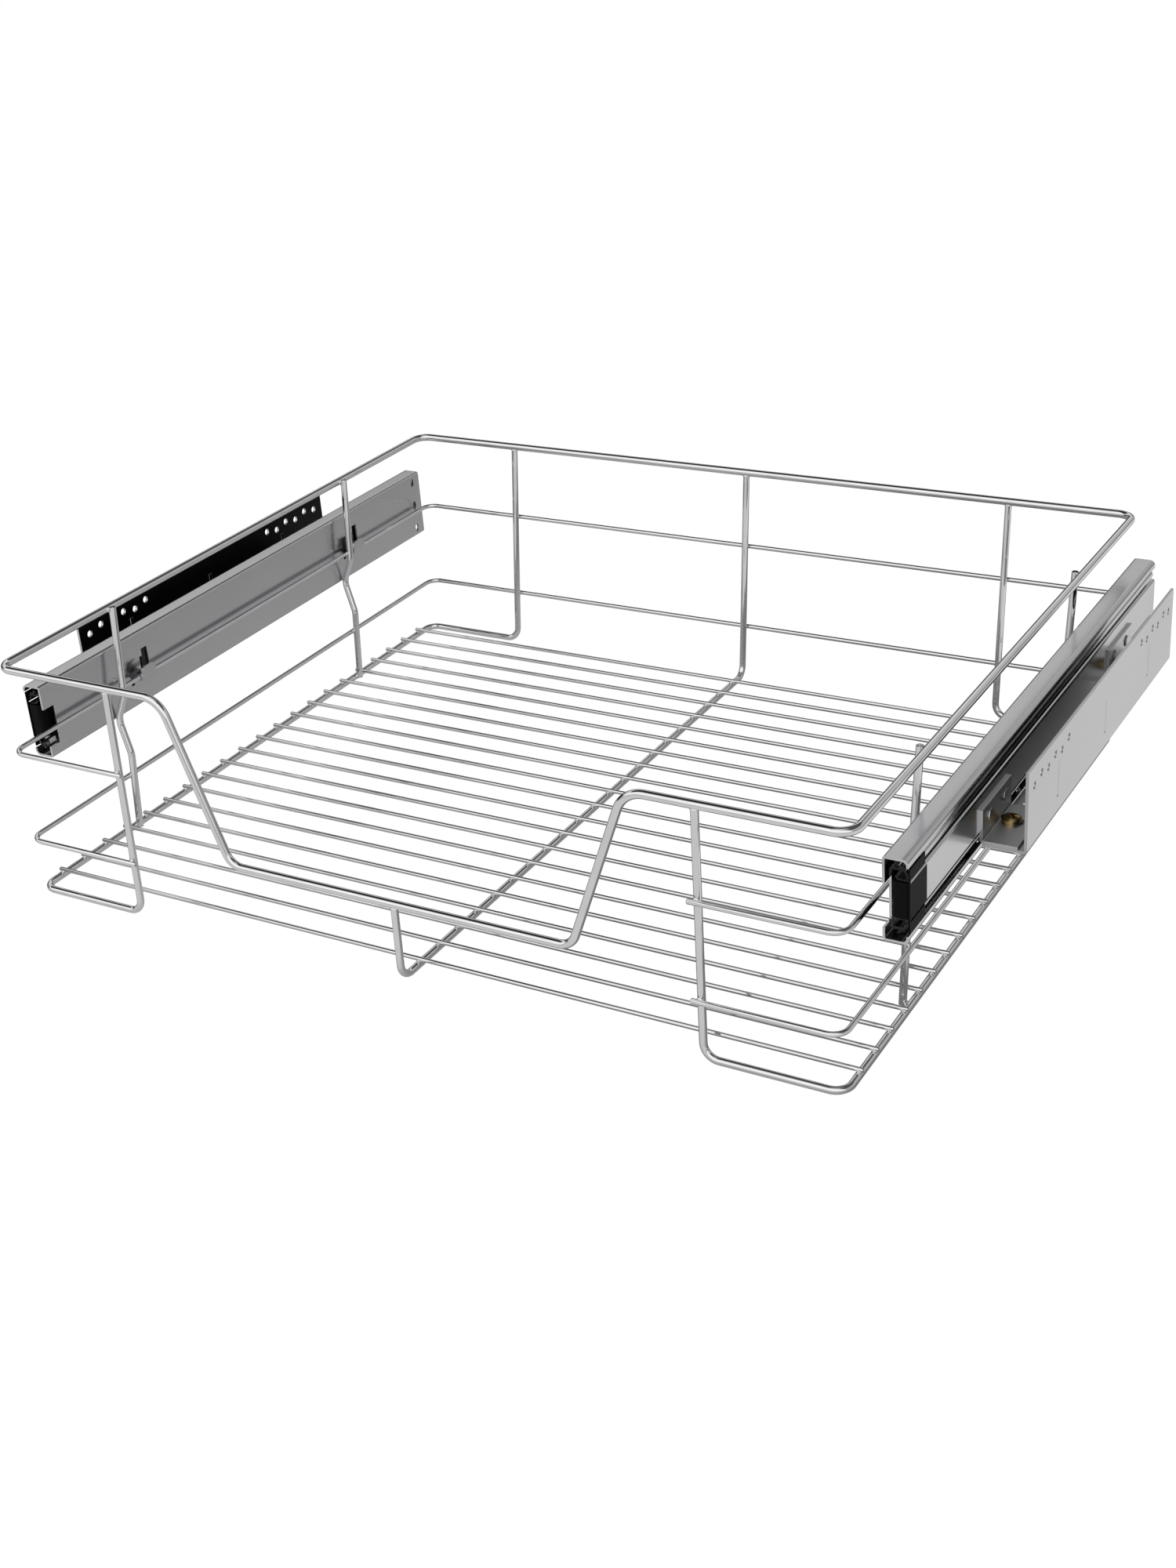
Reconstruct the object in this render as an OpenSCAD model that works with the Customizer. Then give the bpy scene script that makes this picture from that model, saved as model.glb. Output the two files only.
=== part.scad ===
// Pull out cabinet basket: a welded wire basket that hangs in two
// ball-bearing runners, each held to a cabinet side by an adjustable bracket.
// Millimetres. +Z is up and the basket pulls out towards -Y. The origin is
// under the middle of the basket, on the plane that its base wires stand on.

/* [Basket] */
// Width of the rim, between wire centres
rim_w = 488; // [440:2:520]
// Depth of the rim, between wire centres
rim_d = 405; // [400:5:440]
// Height from the base wires to the rim, between wire centres
basket_h = 131; // [125:1:145]
// Radius of the rim's four corner bends
rim_bend = 9; // [6:1:14]
// How far the front wall leans forward at its foot
front_lean = 4; // [0:1:8]
// How far the back wall leans inward at its foot
back_lean = 17; // [0:1:20]
// Distance between the two outer uprights, front and back
upright_spread = 339; // [300:1:360]

/* [Front dip] */
// Width of the dip at the rim, between the corners of the bent wire
dip_top_w = 268; // [240:2:290]
// Width of the dip at its bottom, between the corners of the bent wire
dip_bottom_w = 203; // [160:1:220]
// Depth of the dip below the rim
dip_depth = 88; // [60:1:95]
// Radius of the upper bends of the dip
dip_top_bend = 15; // [8:1:20]
// Radius of the lower bends of the dip
dip_bottom_bend = 10; // [6:1:16]

/* [Wires] */
// Diameter of the rim wire
rim_wire = 4.5; // [4:0.1:5]
// Diameter of the base wires, uprights and hangers
frame_wire = 4; // [3.6:0.1:4.4]
// Diameter of the two wall rings
ring_wire = 2.8; // [2.4:0.1:3.2]
// Diameter of the floor wires
floor_wire = 2.4; // [2:0.1:2.8]
// How far welded wires sink into each other
weld_sink = 0.3; // [0.2:0.05:0.4]
// Radius of the bends of the base wires and rings
wire_bend = 8; // [6:1:10]

/* [Rings] */
// Drop of the upper ring below the rim
ring_upper_drop = 47.5; // [44:0.5:50]
// Drop of the lower ring below the rim
ring_lower_drop = 99.5; // [92:0.5:104]
// How far the upper ring lies inside the rim, each side
ring_upper_in = 2.4; // [2:0.1:3]
// How far the lower ring and the base lie inside the rim, each side
ring_lower_in = 3.5; // [3:0.1:4]

/* [Floor] */
// Distance from one floor wire to the next
floor_pitch = 18; // [16:0.5:18]
// Distance from the front base wires to the first floor wire
floor_start = 16; // [14:1:18]
// Least distance from the last floor wire to the foot of the back wall
floor_end = 10; // [8:1:12]
// How far a floor wire's ends stand past the middle of the base wires
floor_overhang = 2; // [1:0.5:4]

/* [Hangers] */
// Distance of the front hangers' tops behind the front of the rim
hanger_front = 87; // [84:1:90]
// Distance of the rear hangers' tops behind the front of the rim
hanger_rear = 310; // [304:1:311]
// How far a hanger's foot stands in front of its top
hanger_lean = 14; // [10:1:18]
// Drop of a hanger's knee, where it leans on the runner
knee_drop = 66; // [64:1:68]
// Gap between a hanger's knee and the runner
knee_gap = 0.3; // [0.2:0.1:0.6]

/* [Runner] */
// Height of the drawer member, the runner's largest profile
runner_h = 43; // [43:1:45]
// Length of the drawer member
runner_l = 373; // [370:1:375]
// Depth of the whole runner, from the basket side to the wall side
runner_depth = 12.7; // [12.7:0.1:12.9]
// Distance of the drawer member's front end behind the front of the rim
runner_front = 27; // [26:1:30]
// How far the two inner members start behind the drawer member's front end
inner_setback = 2; // [1:0.5:3]
// How far outside the rim's wire the basket side of the runner lies
runner_out = 2; // [2:0.1:3]
// Drop of the runner's middle below the rim
runner_drop = 45; // [44:0.5:46]
// Thickness of the runner's sheet steel
sheet = 1.2; // [1:0.1:1.2]
// Diameter of the bearing balls
ball_d = 4; // [3.8:0.1:4]
// Running clearance between a ball and its race
race_gap = 0.08; // [0.05:0.01:0.1]
// Length of a ball cage on the drawer member
drawer_cage_l = 209; // [195:1:210]
// Length of a ball cage on the cabinet member
cabinet_cage_l = 168; // [160:1:170]
// Distance from one ball to the next
ball_pitch = 18.5; // [12:0.5:19]
// Full travel of the basket
travel = 320; // [280:10:320]

/* [Hooks] */
// Middle of the front hook, behind the front of the rim
hook_front = 105.5; // [104:0.5:108]
// Middle of the rear hook, behind the front of the rim
hook_rear = 316; // [316:1:330]
// Width of a hook along the runner
hook_w = 12; // [10:1:13]
// Width of the window that a hook is cut from
window_w = 17; // [14:1:18]

/* [Brackets] */
// Length of a wall bracket
bracket_l = 237; // [232:1:245]
// Distance of the right bracket's front end behind the front of the rim
bracket_front = 115; // [112:1:118]
// How much further forward the left bracket is fitted
bracket_shift = 17.5; // [0:0.5:20]
// Distance from the runner to the face that meets the cabinet side
wall_gap = 23.3; // [23:0.1:26]
// Thickness of the bracket steel
bracket_sheet = 1.5; // [1.2:0.1:1.6]
// Height of the wall bracket
bracket_h = 42.5; // [40:0.5:46]
// Width of the wall bracket's leg
bracket_w = 22; // [21:0.5:22]
// Length of a runner angle
angle_l = 40; // [38:1:42]
// Width of a runner angle's leg
angle_w = 18.7; // [18:0.1:19]
// Diameter of the fixing holes
fixing_hole = 4; // [3.5:0.5:4.5]
// Distance from one fixing hole to the next along a row
fixing_pitch = 20; // [18:1:20]
// How far each bracket can be moved outward
adjust_travel = 6; // [4:1:6]
// Diameter of the adjusting screw
screw_d = 5; // [4:0.5:5]

/* [Hidden] */
eps = 0.01;         // overlap of the solids that one piece is built from
through = 1;        // how far a cutter reaches past the faces that it cuts
bend_lap = 0.1;     // how far a straight wire runs into a bend
bend_thinning = 0.01;  // a bend's wire is this much thinner all round
wire_fn = 32;       // facets round a wire
fine_fn = 48;       // facets round a race, a hole or a screw head

// Places of the basket, measured from the front and the height of the rim
ring_lower_y = front_lean * ring_lower_drop / basket_h;
ring_stand_off = (frame_wire + ring_wire) / 2 - weld_sink;
front_y = -ring_lower_y - ring_stand_off - ring_wire / 2;  // foremost point
back_y = rim_d + rim_wire / 2;                             // rearmost point
origin_y = (front_y + back_y) / 2;
origin_z = -basket_h - frame_wire / 2;
upright_x = upright_spread / 2;
base_x = rim_w / 2 - ring_lower_in;
upper_ring_x = rim_w / 2 - ring_upper_in;
lower_ring_x = rim_w / 2 - ring_lower_in;
floor_count = 1 + floor((rim_d - back_lean + front_lean - floor_start - floor_end) / floor_pitch);
hanger_rise = 1.5;  // of a hanger's end above the middle of the rim's wire
above_knee = 14.5;  // from the bend above a hanger's knee down to the knee
knee_bend = 12;     // middle radius of a hanger's bends
below_knee = 20;    // from the knee down to the bend below it

// Places of the runner's profile: u runs outboard from its basket side,
// v runs up from its middle. Each race is an arc round the balls' centre.
runner_x = rim_w / 2 + runner_out;
ball_r = ball_d / 2;
race_in = ball_r + race_gap;
race_out = race_in + sheet;
race_lip_gap = 0.2;
outer_row = [runner_depth - race_lip_gap - race_out, runner_h / 2 - race_out];
inner_row = [outer_row.x - 1, outer_row.y - race_out - race_in - 0.4];
middle_web_u = 2.4;
floor_v = inner_row.y - race_out;    // lower face of the cabinet member's flange
wall_face_u = runner_depth - sheet;  // inner face of the cabinet member's web
cage_sheet = 0.5;
cage_gap = 0.15;                     // between a cage and the members beside it
cage_web_outer = 1.55;
cage_web_inner = 4;
fold_r = 0.5;                        // inside radius of the members' folds
drawer_race = [-20, 90];             // first and last angle of each race's arc
middle_race_in = [-8, 90];
middle_race_out = [192, 285];
cabinet_race = [198, 270];
cage_end = 9;                        // from a cage's end to its last ball, at least
inner_front = runner_front + inner_setback;
inner_l = runner_l - inner_setback;

// The middle member makes half of the travel, and a cage half of what the two
// members beside it make between them. Each cage sits so that it stays within
// both of its members when the basket is pulled out.
middle_travel = travel / 2;
drawer_cage_travel = (travel + middle_travel) / 2;
cabinet_cage_travel = middle_travel / 2;

// Front buffer, and the notches that it shows through
buffer_l = 20;
buffer_front = 28;
buffer_corner = 2.5;
buffer_skin = 0.85;
ear_top = 16.4;
notch_drop = 3.5;    // the notch's middle below the runner's middle
notch_h = 22.4;
notch_l = 8;
middle_notch_l = 20;
middle_notch_h = 22;
buffer_rear = buffer_front + buffer_l;

// Front ends of the cages, middled in what their members share when pulled out
drawer_cage_front = (inner_front - middle_travel + runner_front + runner_l - travel
  - drawer_cage_l) / 2 + drawer_cage_travel;
cabinet_cage_front = (buffer_rear + inner_front + inner_l - middle_travel
  - cabinet_cage_l) / 2 + cabinet_cage_travel;

// Hook and window in the drawer member's web, v from the runner's middle
hook_play = 0.1;            // between the upper ring and a hook's bend
hook_r = ring_wire / 2 + hook_play;
hook_v = runner_drop - ring_upper_drop + hook_play;
hook_foot_r = 1;            // inside radius of the bend at a hook's foot
hook_u = upper_ring_x - runner_x;
hook_tip_v = hook_v + 6;
window_bottom_v = hook_v - 5.8;
window_top_v = hook_v + 8.8;
window_step = [5, 4.2];     // taller part of the window, at its rear
slot_v = [-16, 0, 16];      // slots in the web's rear end
slot_size = [3, 5.4];
slot_in = 8;                // from the rear end
dimple_d = 3;
dimple_in = 2.5;            // behind the front hanger
dimple_rise = 1;            // above the runner's middle

// Brackets, z from the rim's height
leg_top_z = -runner_drop - 13.4;     // upper face of a runner angle's leg
angle_top_z = -runner_drop + 2.5;
web_wall_x = runner_x + runner_depth;
wall_x = web_wall_x + wall_gap;
bracket_fold_r = 0.6;       // inside radius of the brackets' folds
screw_x = web_wall_x + 7.3;
screw_y = 24;               // from a bracket's end
rivet_y = [10, 31];         // from an angle's outer end
rivet_z = -runner_drop - 4;
rivet_d = 4;
rivet_head = [6.4, 1];
screw_play = 0.2;           // round the screw, in the slot and in its hole
slot_w = screw_d + 2 * screw_play;
leg_hole_y = 45.5;
leg_hole_d = 3.5;
fixing_y = 8.5;             // first hole, from the bracket's end
fixing_drop = [7.9, 10];    // of the two rows below the bracket's top edge
bead_y = 44;                // outer beads, from the bracket's ends
bead_end = [9.4, 14.1];     // from the bracket's bottom and top edges
bead_r = 1.6;
bead_depth = 0.9;
screw_head = [10, 3.2];
screw_recess = [5.4, 1.1, 1.6];
nut_flats = 8;
nut_h = 4;

// ---------------------------------------------------------------- helpers

// Unit vector along v
function unit(v) = v / norm(v);

// Angle that a path turns through at point b, on the way from a to c
function turn(a, b, c) = acos(unit(b - a) * unit(c - b));

// Length that a bend of radius r takes off each side of its corner
function trim(a, b, c, r) = r * tan(turn(a, b, c) / 2);

// Straight round wire from point a to point b
module straight_wire(a, b, d) {
  run = b - a;
  translate(a)
    rotate([0, acos(run.z / norm(run)), atan2(run.y, run.x)])
      cylinder(h = norm(run), d = d, $fn = wire_fn);
}

// Bend of radius r at corner b, on the way from a to c
module wire_bend_at(a, b, c, r, d) {
  start = unit(b - a);
  axis = unit(cross(start, c - b));
  out = cross(start, axis);
  centre = b - start * trim(a, b, c, r) - out * r;
  multmatrix([
    [out.x, start.x, axis.x, centre.x],
    [out.y, start.y, axis.y, centre.y],
    [out.z, start.z, axis.z, centre.z],
    [0, 0, 0, 1]
  ])
    rotate_extrude(angle = turn(a, b, c), $fn = fine_fn * 2)
      translate([r, 0]) circle(d = d, $fn = wire_fn);
}

// Round wire of diameter d along corners, bent with one radius per corner
module wire(corners, radii, d, closed = false) {
  n = len(corners);
  function at(i) = corners[(i + n) % n];
  function cut(i) =
    !closed && (i == 0 || i == n - 1)
      ? 0 : trim(at(i - 1), at(i), at(i + 1), radii[i % n]) - bend_lap;
  for (i = [0 : closed ? n - 1 : n - 2]) {
    way = unit(at(i + 1) - at(i));
    straight_wire(at(i) + way * cut(i), at(i + 1) - way * cut((i + 1) % n), d);
  }
  for (i = [closed ? 0 : 1 : closed ? n - 1 : n - 2])
    wire_bend_at(at(i - 1), at(i), at(i + 1), radii[i], d - 2 * bend_thinning);
}

// Moves what is measured from the rim's front and height to the part's frame
module in_place() {
  translate([0, -origin_y, -origin_z]) children();
}

// Places what is built for the right side on the given side
module on_side(side) {
  if (side == "left") mirror([1, 0, 0]) children();
  else children();
}

// Extrudes a runner profile (u outboard, v up) from y = front to y = front + l
module profile(front, l) {
  translate([runner_x, front, -runner_drop])
    rotate([90, 0, 0])
      mirror([0, 0, 1]) linear_extrude(l) children();
}

// Both halves of a profile, from its upper half
module both_halves() {
  children();
  mirror([0, 1]) children();
}

// Arc of sheet round a row of balls, from the first angle of a to its last
module race(row, a) {
  reach = race_out * 3;
  mid = (a[0] + a[1]) / 2;
  translate(row)
    intersection() {
      difference() {
        circle(r = race_out, $fn = fine_fn);
        circle(r = race_in, $fn = fine_fn);
      }
      polygon([[0, 0], for (t = [a[0], mid, a[1]]) reach * [cos(t), sin(t)]]);
    }
}

// Quarter of a bent sheet round a centre, in the quadrant that way points to
module quarter_bend(centre, r, t, way) {
  translate(centre)
    intersection() {
      difference() {
        circle(r = r + t, $fn = fine_fn);
        circle(r = r, $fn = fine_fn);
      }
      mirror([way.x < 0 ? 1 : 0, 0]) mirror([0, way.y < 0 ? 1 : 0]) square(2 * (r + t));
    }
}

// Angle of sheet with a rounded fold, its outer corner at the origin
module fold_angle(leg, flange, t, r) {
  o = r + t;
  translate([o - eps, 0]) square([leg - o + eps, t]);
  translate([0, o - eps]) square([t, flange - o + eps]);
  quarter_bend([o, o], r, t, [-1, -1]);
}

// Block in runner coordinates, from [u, y, v] corner to corner
module runner_block(low, high) {
  translate([runner_x, 0, -runner_drop])
    translate(low) cube(high - low);
}

// Front height of the wall at drop z, as the wall leans
function front_at(drop) = -front_lean * drop / basket_h;

// The same for the back wall
function back_at(drop) = rim_d - back_lean * drop / basket_h;

// ----------------------------------------------------------------- basket

// Closed loop of the thickest wire, dipped at the front as a grip
module rim() {
  dip_front = front_at(dip_depth);
  corners = [
    [-rim_w / 2, 0, 0], [-rim_w / 2, rim_d, 0], [rim_w / 2, rim_d, 0], [rim_w / 2, 0, 0],
    [dip_top_w / 2, 0, 0], [dip_bottom_w / 2, dip_front, -dip_depth],
    [-dip_bottom_w / 2, dip_front, -dip_depth], [-dip_top_w / 2, 0, 0]
  ];
  radii = [rim_bend, rim_bend, rim_bend, rim_bend,
           dip_top_bend, dip_bottom_bend, dip_bottom_bend, dip_top_bend];
  color("#d4d6d8") in_place() wire(corners, radii, rim_wire, closed = true);
}

// Ring round the walls, open at the front, welded outside the uprights
module wall_ring(drop, half_w) {
  front = front_at(drop) - ring_stand_off;
  back = back_at(drop) + ring_stand_off;
  end_x = upright_x - frame_wire;
  corners = [
    [end_x, front, -drop], [half_w, front, -drop], [half_w, back, -drop],
    [-half_w, back, -drop], [-half_w, front, -drop], [-end_x, front, -drop]
  ];
  in_place() wire(corners, [for (c = corners) wire_bend], ring_wire);
}

// Ring that rests in the runners' hooks
module upper_ring() {
  color("#d0d2d5") wall_ring(ring_upper_drop, upper_ring_x);
}

// Ring lower down the walls
module lower_ring() {
  color("#d0d2d5") wall_ring(ring_lower_drop, lower_ring_x);
}

// One wire: front upright, side of the base, and back upright
module base_wire(side) {
  top = -rim_wire / 2 + weld_sink;
  front = front_at(basket_h);
  back = back_at(basket_h);
  corners = [
    [upright_x, 0, top], [upright_x, front, -basket_h], [base_x, front, -basket_h],
    [base_x, back, -basket_h], [upright_x, back, -basket_h], [upright_x, rim_d, top]
  ];
  color("#d2d4d7") in_place() on_side(side)
    wire(corners, [for (c = corners) wire_bend], frame_wire);
}

module base_wire_left() { base_wire("left"); }
module base_wire_right() { base_wire("right"); }

// One wire: from under the dip, along the floor, and up the back wall
module centre_wire() {
  corners = [
    [0, front_at(dip_depth), -dip_depth - rim_wire / 2 + weld_sink],
    [0, front_at(basket_h), -basket_h], [0, back_at(basket_h), -basket_h],
    [0, rim_d, -rim_wire / 2 + weld_sink]
  ];
  color("#d2d4d7") in_place() wire(corners, [for (c = corners) wire_bend], frame_wire);
}

// Floor wires, laid across the base wires and the centre wire
module floor_wires() {
  end_x = base_x + floor_overhang;
  z = -basket_h + (frame_wire + floor_wire) / 2 - weld_sink;
  color("#d0d2d5") in_place()
    for (i = [0 : floor_count - 1])
      translate([-end_x, front_at(basket_h) + floor_start + i * floor_pitch, z])
        rotate([0, 90, 0]) cylinder(h = 2 * end_x, d = floor_wire, $fn = wire_fn);
}

// Distance behind the rim's front of a leaning hanger at height z, from its top's
function lean_at(y, z) = y - hanger_lean * (hanger_rise - z) / (hanger_rise + basket_h);

// Side wire with a knee that leans on the runner below the hook
module hanger(y) {
  above_z = -knee_drop + above_knee;
  below_z = -knee_drop - below_knee;
  top = [rim_w / 2 - (rim_wire + frame_wire) / 2 + weld_sink, y, hanger_rise];
  above = [upper_ring_x - ring_stand_off, lean_at(y, above_z), above_z];
  below = [lower_ring_x - ring_stand_off, lean_at(y, below_z), below_z];
  foot = [base_x - frame_wire + weld_sink, lean_at(y, -basket_h), -basket_h];
  reach = [runner_x - frame_wire / 2 - knee_gap, lean_at(y, -knee_drop), -knee_drop];
  rounding = knee_bend * (1 / cos(turn(above, reach, below) / 2) - 1);
  corners = [top, above, reach + [rounding, 0, 0], below, foot];
  color("#d2d4d7") in_place() wire(corners, [for (c = corners) knee_bend], frame_wire);
}

module hanger_front_left() { on_side("left") hanger(hanger_front); }
module hanger_rear_left() { on_side("left") hanger(hanger_rear); }
module hanger_front_right() { hanger(hanger_front); }
module hanger_rear_right() { hanger(hanger_rear); }

// ---------------------------------------------------------------- runners

// Upper half of the drawer member: tall web, flat flange and outer race
module drawer_half() {
  translate([0, runner_h / 2]) mirror([0, 1])
    fold_angle(outer_row.x, runner_h / 2, sheet, fold_r);
  race(outer_row, drawer_race);
}

// Hook that carries the upper ring: a tongue of the web, bent inward below
// its window, along under the ring, and up on the ring's other side
module hook_profile() {
  tip_u = hook_u - hook_r - sheet;
  shelf_v = hook_v - hook_r - sheet;
  foot_v = shelf_v - hook_foot_r;
  translate([tip_u, hook_v - eps]) square([sheet, hook_tip_v - hook_v + eps]);
  quarter_bend([hook_u, hook_v], hook_r, sheet, [-1, -1]);
  translate([hook_u - eps, shelf_v]) square([-hook_foot_r - hook_u + 2 * eps, sheet]);
  quarter_bend([-hook_foot_r, foot_v], hook_foot_r, sheet, [1, 1]);
  translate([0, window_bottom_v - eps]) square([sheet, foot_v - window_bottom_v + 2 * eps]);
}

// Member that carries the basket: hooks, windows, notched front, rear slots
module drawer_member(side) {
  color("#b9bbbe") in_place() on_side(side) {
    difference() {
      profile(runner_front, runner_l) both_halves() drawer_half();
      runner_block([-through, runner_front - through, -notch_drop - notch_h / 2],
                   [sheet + through, runner_front + notch_l, -notch_drop + notch_h / 2]);
      for (y = [hook_front, hook_rear]) window(y);
      for (v = slot_v)
        translate([runner_x + sheet / 2, runner_front + runner_l - slot_in, v - runner_drop])
          rotate([0, 90, 0]) rear_slot();
    }
    for (y = [hook_front, hook_rear]) hook(y);
    locating_dimple();
  }
}

module drawer_member_left() { drawer_member("left"); }
module drawer_member_right() { drawer_member("right"); }

// Window that the hook is cut from, taller at its rear
module window(y) {
  runner_block([-through, y - window_w / 2, window_bottom_v],
               [sheet + through, y + window_w / 2, window_top_v]);
  runner_block([-through, y + window_w / 2 - window_step.x, window_bottom_v],
               [sheet + through, y + window_w / 2, window_top_v + window_step.y]);
}

// Hook, as wide as the tongue that it is bent from
module hook(y) {
  profile(y - hook_w / 2, hook_w) hook_profile();
}

// Upright slot with round ends at the rear end of the web
module rear_slot() {
  straight = slot_size.y - slot_size.x;
  for (s = [-1, 1])
    translate([s * straight / 2, 0, 0])
      cylinder(h = sheet + 2 * through, d = slot_size.x, center = true, $fn = fine_fn);
  cube([straight, slot_size.x, sheet + 2 * through], center = true);
}

// Small round dimple beside the front hanger
module locating_dimple() {
  z = -runner_drop + dimple_rise;
  translate([runner_x + sheet / 2, lean_at(hanger_front, z) + dimple_in, z])
    rotate([0, -90, 0]) cylinder(h = sheet, d = dimple_d, $fn = fine_fn);
}

// Upper half of the middle member: web, S-shaped flange and both its races
module middle_half() {
  translate([middle_web_u, inner_row.y + race_out]) mirror([0, 1])
    fold_angle(inner_row.x - middle_web_u, inner_row.y + race_out, sheet, fold_r);
  race(inner_row, middle_race_in);
  race(outer_row, middle_race_out);
}

// Member that runs between the two others, notched to clear the buffer
module middle_member(side) {
  color("#a9abae") in_place() on_side(side)
    difference() {
      profile(inner_front, inner_l) both_halves() middle_half();
      runner_block([middle_web_u - through, inner_front - through, -middle_notch_h / 2],
                   [middle_web_u + sheet + 0.2, inner_front + middle_notch_l, middle_notch_h / 2]);
    }
}

module middle_member_left() { middle_member("left"); }
module middle_member_right() { middle_member("right"); }

// Upper half of the cabinet member: web on the wall side, flange and race
module cabinet_half() {
  translate([runner_depth, floor_v + sheet]) mirror([0, 1]) mirror([1, 0])
    fold_angle(runner_depth - inner_row.x, floor_v + sheet, sheet, fold_r);
  race(inner_row, cabinet_race);
}

// Member that stays in the cabinet, riveted to the runner angles
module cabinet_member(side) {
  shift = side == "left" ? bracket_shift : 0;
  color("#c2c4c6") in_place() on_side(side)
    difference() {
      profile(inner_front, inner_l) both_halves() cabinet_half();
      runner_block([wall_face_u - eps, inner_front - through, -floor_v],
                   [runner_depth + through, buffer_rear, floor_v]);
      for (y = rivet_places(shift)) rivet_at(y) cylinder(h = through * 8, d = rivet_d,
                                                         center = true, $fn = fine_fn);
    }
}

module cabinet_member_left() { cabinet_member("left"); }
module cabinet_member_right() { cabinet_member("right"); }

// Upper half of a ball cage: strip behind the web and a leaf through the row
module cage_half(row, web_u) {
  leaf_end = row.x + race_in - cage_gap;
  translate([web_u, 0]) square([cage_sheet, row.y + cage_sheet / 2]);
  translate([web_u, row.y - cage_sheet / 2]) square([leaf_end - web_u, cage_sheet]);
}

// Ball cage with a hole for each ball
module ball_cage(side, row, web_u, front, l) {
  color("#3c3e40") in_place() on_side(side)
    difference() {
      profile(front, l) both_halves() cage_half(row, web_u);
      ball_places(row, front, l)
        cylinder(h = 4 * cage_sheet, r = ball_r + race_gap, center = true, $fn = fine_fn);
    }
}

// Places its child at every ball of a cage's upper and lower row
module ball_places(row, front, l) {
  gaps = floor((l - 2 * cage_end) / ball_pitch);
  first = front + (l - gaps * ball_pitch) / 2;
  for (v = [row.y, -row.y], i = [0 : gaps])
    translate([runner_x + row.x, first + i * ball_pitch, v - runner_drop]) children();
}

// The balls of one cage
module balls(side, row, front, l) {
  color("#d8dadc") in_place() on_side(side)
    ball_places(row, front, l) sphere(r = ball_r, $fn = wire_fn);
}

module drawer_cage(side) {
  ball_cage(side, outer_row, cage_web_outer, drawer_cage_front, drawer_cage_l);
}

module cabinet_cage(side) {
  ball_cage(side, inner_row, cage_web_inner, cabinet_cage_front, cabinet_cage_l);
}

module drawer_balls(side) { balls(side, outer_row, drawer_cage_front, drawer_cage_l); }
module cabinet_balls(side) { balls(side, inner_row, cabinet_cage_front, cabinet_cage_l); }

module drawer_cage_left() { drawer_cage("left"); }
module drawer_cage_right() { drawer_cage("right"); }
module cabinet_cage_left() { cabinet_cage("left"); }
module cabinet_cage_right() { cabinet_cage("right"); }
module drawer_balls_left() { drawer_balls("left"); }
module drawer_balls_right() { drawer_balls("right"); }
module cabinet_balls_left() { cabinet_balls("left"); }
module cabinet_balls_right() { cabinet_balls("right"); }

// Plastic block in the front end of the cabinet member, with an ear above
// and below it that closes the races
module front_buffer(side) {
  block_v = floor_v;
  block_u = middle_web_u + sheet + 0.3;
  rear = buffer_rear;
  skin_u = runner_depth - buffer_skin;
  front = inner_front - sheet;
  color("#141516") in_place() on_side(side) {
    runner_block([block_u, buffer_front + buffer_corner, -block_v], [runner_depth, rear, block_v]);
    runner_block([block_u + buffer_corner, buffer_front, -block_v],
                 [runner_depth - buffer_corner, buffer_front + buffer_corner + eps, block_v]);
    for (u = [block_u + buffer_corner, runner_depth - buffer_corner])
      translate([runner_x + u, buffer_front + buffer_corner, -runner_drop])
        cylinder(h = 2 * block_v, r = buffer_corner, center = true, $fn = fine_fn);
    runner_block([skin_u, front, -block_v], [runner_depth, rear, block_v]);
    runner_block([skin_u, front, -ear_top], [runner_depth, inner_front, ear_top]);
    for (m = [0, 1])
      translate([0, 0, -runner_drop]) mirror([0, 0, m]) translate([0, 0, runner_drop])
        runner_block([skin_u, front, floor_v + sheet + 0.1], [runner_depth, rear - 2, ear_top]);
  }
}

module front_buffer_left() { front_buffer("left"); }
module front_buffer_right() { front_buffer("right"); }

// --------------------------------------------------------------- brackets

// Distances of the rivets behind the rim's front
function rivet_places(shift) = [
  for (y = rivet_y) bracket_front - shift + y,
  for (y = rivet_y) bracket_front - shift + bracket_l - y
];

// Places its child on a rivet's axis, in the middle of the cabinet member's web
module rivet_at(y) {
  translate([web_wall_x - sheet / 2, y, rivet_z]) rotate([0, 90, 0]) children();
}

// Moves what is built from a bracket's front end, on the given side
module at_bracket(side) {
  shift = side == "left" ? bracket_shift : 0;
  in_place() on_side(side) translate([0, bracket_front - shift, 0]) children();
}

// Gives its child at the front end of a bracket and mirrored at its rear end
module both_ends() {
  children();
  translate([0, bracket_l, 0]) mirror([0, 1, 0]) children();
}

// Two short angles riveted to the cabinet member, with slots for the screws
module runner_angles(side) {
  color("#c6c8ca") at_bracket(side) both_ends()
    difference() {
      translate([web_wall_x, angle_l, leg_top_z - bracket_sheet]) rotate([90, 0, 0])
        linear_extrude(angle_l)
          fold_angle(angle_w, angle_top_z - leg_top_z + bracket_sheet,
                     bracket_sheet, bracket_fold_r);
      for (y = rivet_y)
        translate([web_wall_x, y, rivet_z]) rotate([0, 90, 0])
          cylinder(h = 4 * bracket_sheet, d = rivet_d, center = true, $fn = fine_fn);
      adjusting_slot();
    }
}

// Slot across a runner angle, in which the screw moves with the wall bracket
module adjusting_slot() {
  translate([screw_x, screw_y, leg_top_z]) {
    for (x = [0, adjust_travel])
      translate([x, 0, 0])
        cylinder(h = 4 * bracket_sheet, d = slot_w, center = true, $fn = fine_fn);
    translate([0, -slot_w / 2, -2 * bracket_sheet])
      cube([adjust_travel, slot_w, 4 * bracket_sheet]);
  }
}

module runner_angles_left() { runner_angles("left"); }
module runner_angles_right() { runner_angles("right"); }

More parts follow.
